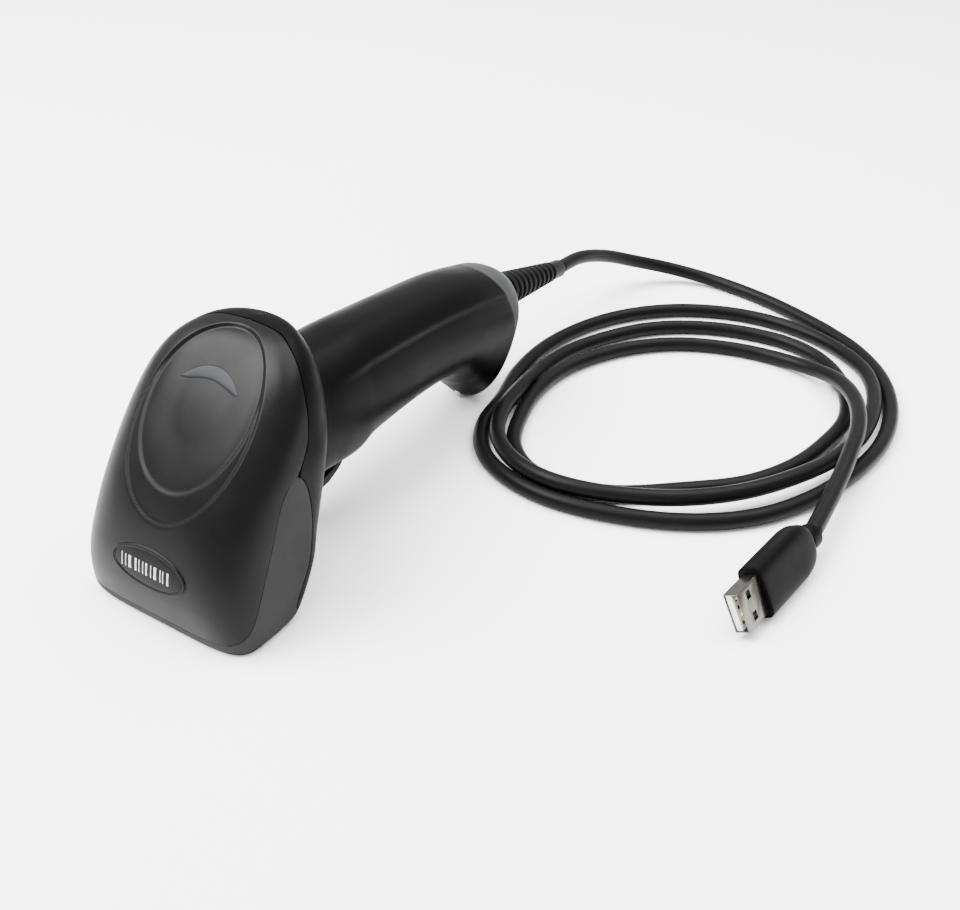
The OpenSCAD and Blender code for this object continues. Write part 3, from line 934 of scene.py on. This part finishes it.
def make_boot():
    frame_of = Matrix.Rotation(math.pi / 2 + BOOT_PITCH, 3, "Y")
    count = 96
    rows = []
    for r, z in boot_profile():
        ring = []
        for j in range(count):
            a = 2 * math.pi * j / count
            p = frame_of @ Vector((r * math.cos(a), r * math.sin(a), z)) + Vector(BOOT_FROM)
            ring.append(p)
        rows.append(ring)
    bm = bmesh.new()
    add_grid(bm, rows, closed=True)
    face_outwards(bm, place(200, 0, 31))
    obj = new_object("boot_ribs", bm)
    round_edges(obj, 0.12, 30, 2)
    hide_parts("strain_relief")
    dress(obj, "boot")
    return obj


# ---- plug ----

PLUG_AT = Vector((133, -142, 8.2))
PLUG_TURN = math.radians(173)
PLUG_ROLL = math.radians(-60)

# Along the plug: place, half width, half thickness, roundness
PLUG_SECTIONS = [
    (-0.9, 2.7, 2.7, 2), (-0.4, 3.4, 3.3, 2), (0, 3.7, 3.6, 2.2), (0.7, 3.9, 3.7, 2.3), (4.2, 3.9, 3.7, 2.3),
    (4.9, 4.0, 3.6, 2.4), (5.1, 4.9, 3.5, 2.7), (5.7, 5.9, 3.7, 3), (7.2, 6.9, 3.85, 3.5),
    (9.5, 7.6, 3.95, 4), (12.5, 7.95, 4, 4.5), (16, 8, 4, 4.8), (35.6, 8, 4, 4.8),
    (36.5, 7.85, 3.85, 4.8), (36.95, 7.3, 3.3, 4.5), (36.95, 4, 1.5, 4),
]


def plug_point(local):
    turned = Matrix.Rotation(PLUG_TURN, 3, "Z") @ Matrix.Rotation(PLUG_ROLL, 3, "X")
    return PLUG_AT + turned @ Vector(local)


def make_plug():
    count = 112
    rows = []
    for i in range(4 * (len(PLUG_SECTIONS) - 1) + 1):
        x, half_w, half_t, n = along(PLUG_SECTIONS, i / 4)
        ring = [round_point(2 * math.pi * j / count, n) for j in range(count)]
        rows.append([plug_point((x, half_w * u, half_t * v)) for u, v in ring])
    bm = bmesh.new()
    verts = add_grid(bm, rows, closed=True)
    bm.faces.new(verts[0])
    bm.faces.new(verts[-1])
    tidy(bm)
    face_outwards(bm, place(*plug_point((20, 0, 0))))
    obj = new_object("plug_body", bm)
    round_edges(obj, 0.15, 50, 2)
    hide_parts("usb_overmould")
    dress(obj, "plug")
    return obj


# ---- CAD pieces whose edges are softened ----


def softened(node, name, key, r, body="scanner", angle=35):
    bm = bmesh.new()
    bm.from_mesh(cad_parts[node].data)
    bmesh.ops.remove_doubles(bm, verts=bm.verts, dist=0.000005)
    bmesh.ops.dissolve_limit(bm, angle_limit=math.radians(2), verts=bm.verts, edges=bm.edges)
    obj = new_object(name, bm, body)
    round_edges(obj, r, angle)
    obj.modifiers["edges"].harden_normals = True
    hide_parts(node)
    dress(obj, key)
    return obj


NODE_LOOKS = {
    "nose_bezel": "bezel", "scan_window": "window", "status_board": "board",
    "trigger_bracket": "bracket", "trigger_pin": "screw", "trigger_spring": "screw",
    "trigger_switch": "black", "switch_plunger": "white", "main_board": "board",
    "board_chips": "black", "beeper": "black", "imager_bracket": "bezel",
    "imager_board": "board", "imager_lens": "black", "illumination_leds": "white",
    "aimer": "brass", "flex_cable": "film", "cable_socket": "black", "cable_plug": "clear",
    "cable_tail": "cable", "cover_screws": "screw", "cap_screw": "screw",
    "usb_insulator": "white", "usb_contacts": "gold",
}


# ---- floor and light ----


def make_stage():
    bm = bmesh.new()
    bmesh.ops.create_grid(bm, x_segments=2, y_segments=2, size=6)
    mesh = bpy.data.meshes.new("floor")
    bm.to_mesh(mesh)
    bm.free()
    floor = bpy.data.objects.new("floor", mesh)
    bpy.context.scene.collection.objects.link(floor)
    n = Nodes("floor_paper")
    n.link(n.mix(n.spread(n.noise(4), 0, 1), (0.93, 0.93, 0.93), (0.95, 0.95, 0.95)),
           n.shader.inputs["Base Color"])
    n.shader.inputs["Roughness"].default_value = 0.8
    mesh.materials.append(n.material)


def add_light(name, at, size, power):
    data = bpy.data.lights.new(name, "AREA")
    data.shape = "RECTANGLE"
    data.size, data.size_y = size
    data.energy = power
    light = bpy.data.objects.new(name, data)
    bpy.context.scene.collection.objects.link(light)
    light.location = at
    light.rotation_euler = (-Vector(at)).to_track_quat("-Z", "Y").to_euler()


def make_lights():
    world = bpy.data.worlds.new("studio")
    bpy.context.scene.world = world
    world.use_nodes = True
    world.node_tree.nodes["Background"].inputs["Color"].default_value = (1, 1, 1, 1)
    world.node_tree.nodes["Background"].inputs["Strength"].default_value = 1.4
    add_light("key", (-0.5, 0.7, 1.3), (1.2, 1.2), 125)
    add_light("top", (0.5, -0.2, 1.5), (1.4, 1.4), 62)


make_camera()
make_materials()
cord_path = [Vector(p) for p in smooth_line(CORD_ROUTE, 8)]
cord = make_cord(cord_path)
make_cover()
shared_columns = handle_columns()
make_housing(shared_columns)
make_cap(shared_columns)
make_bumper()
make_badge()
make_light()
make_boot()
softened("trigger", "trigger_paddle", "trigger", 0.7, "trigger")
mould = make_plug()
shell = softened("usb_shell", "plug_shell", "steel", 0.1)
for node_name, look in NODE_LOOKS.items():
    dress(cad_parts[node_name], look)
make_stage()
make_lights()
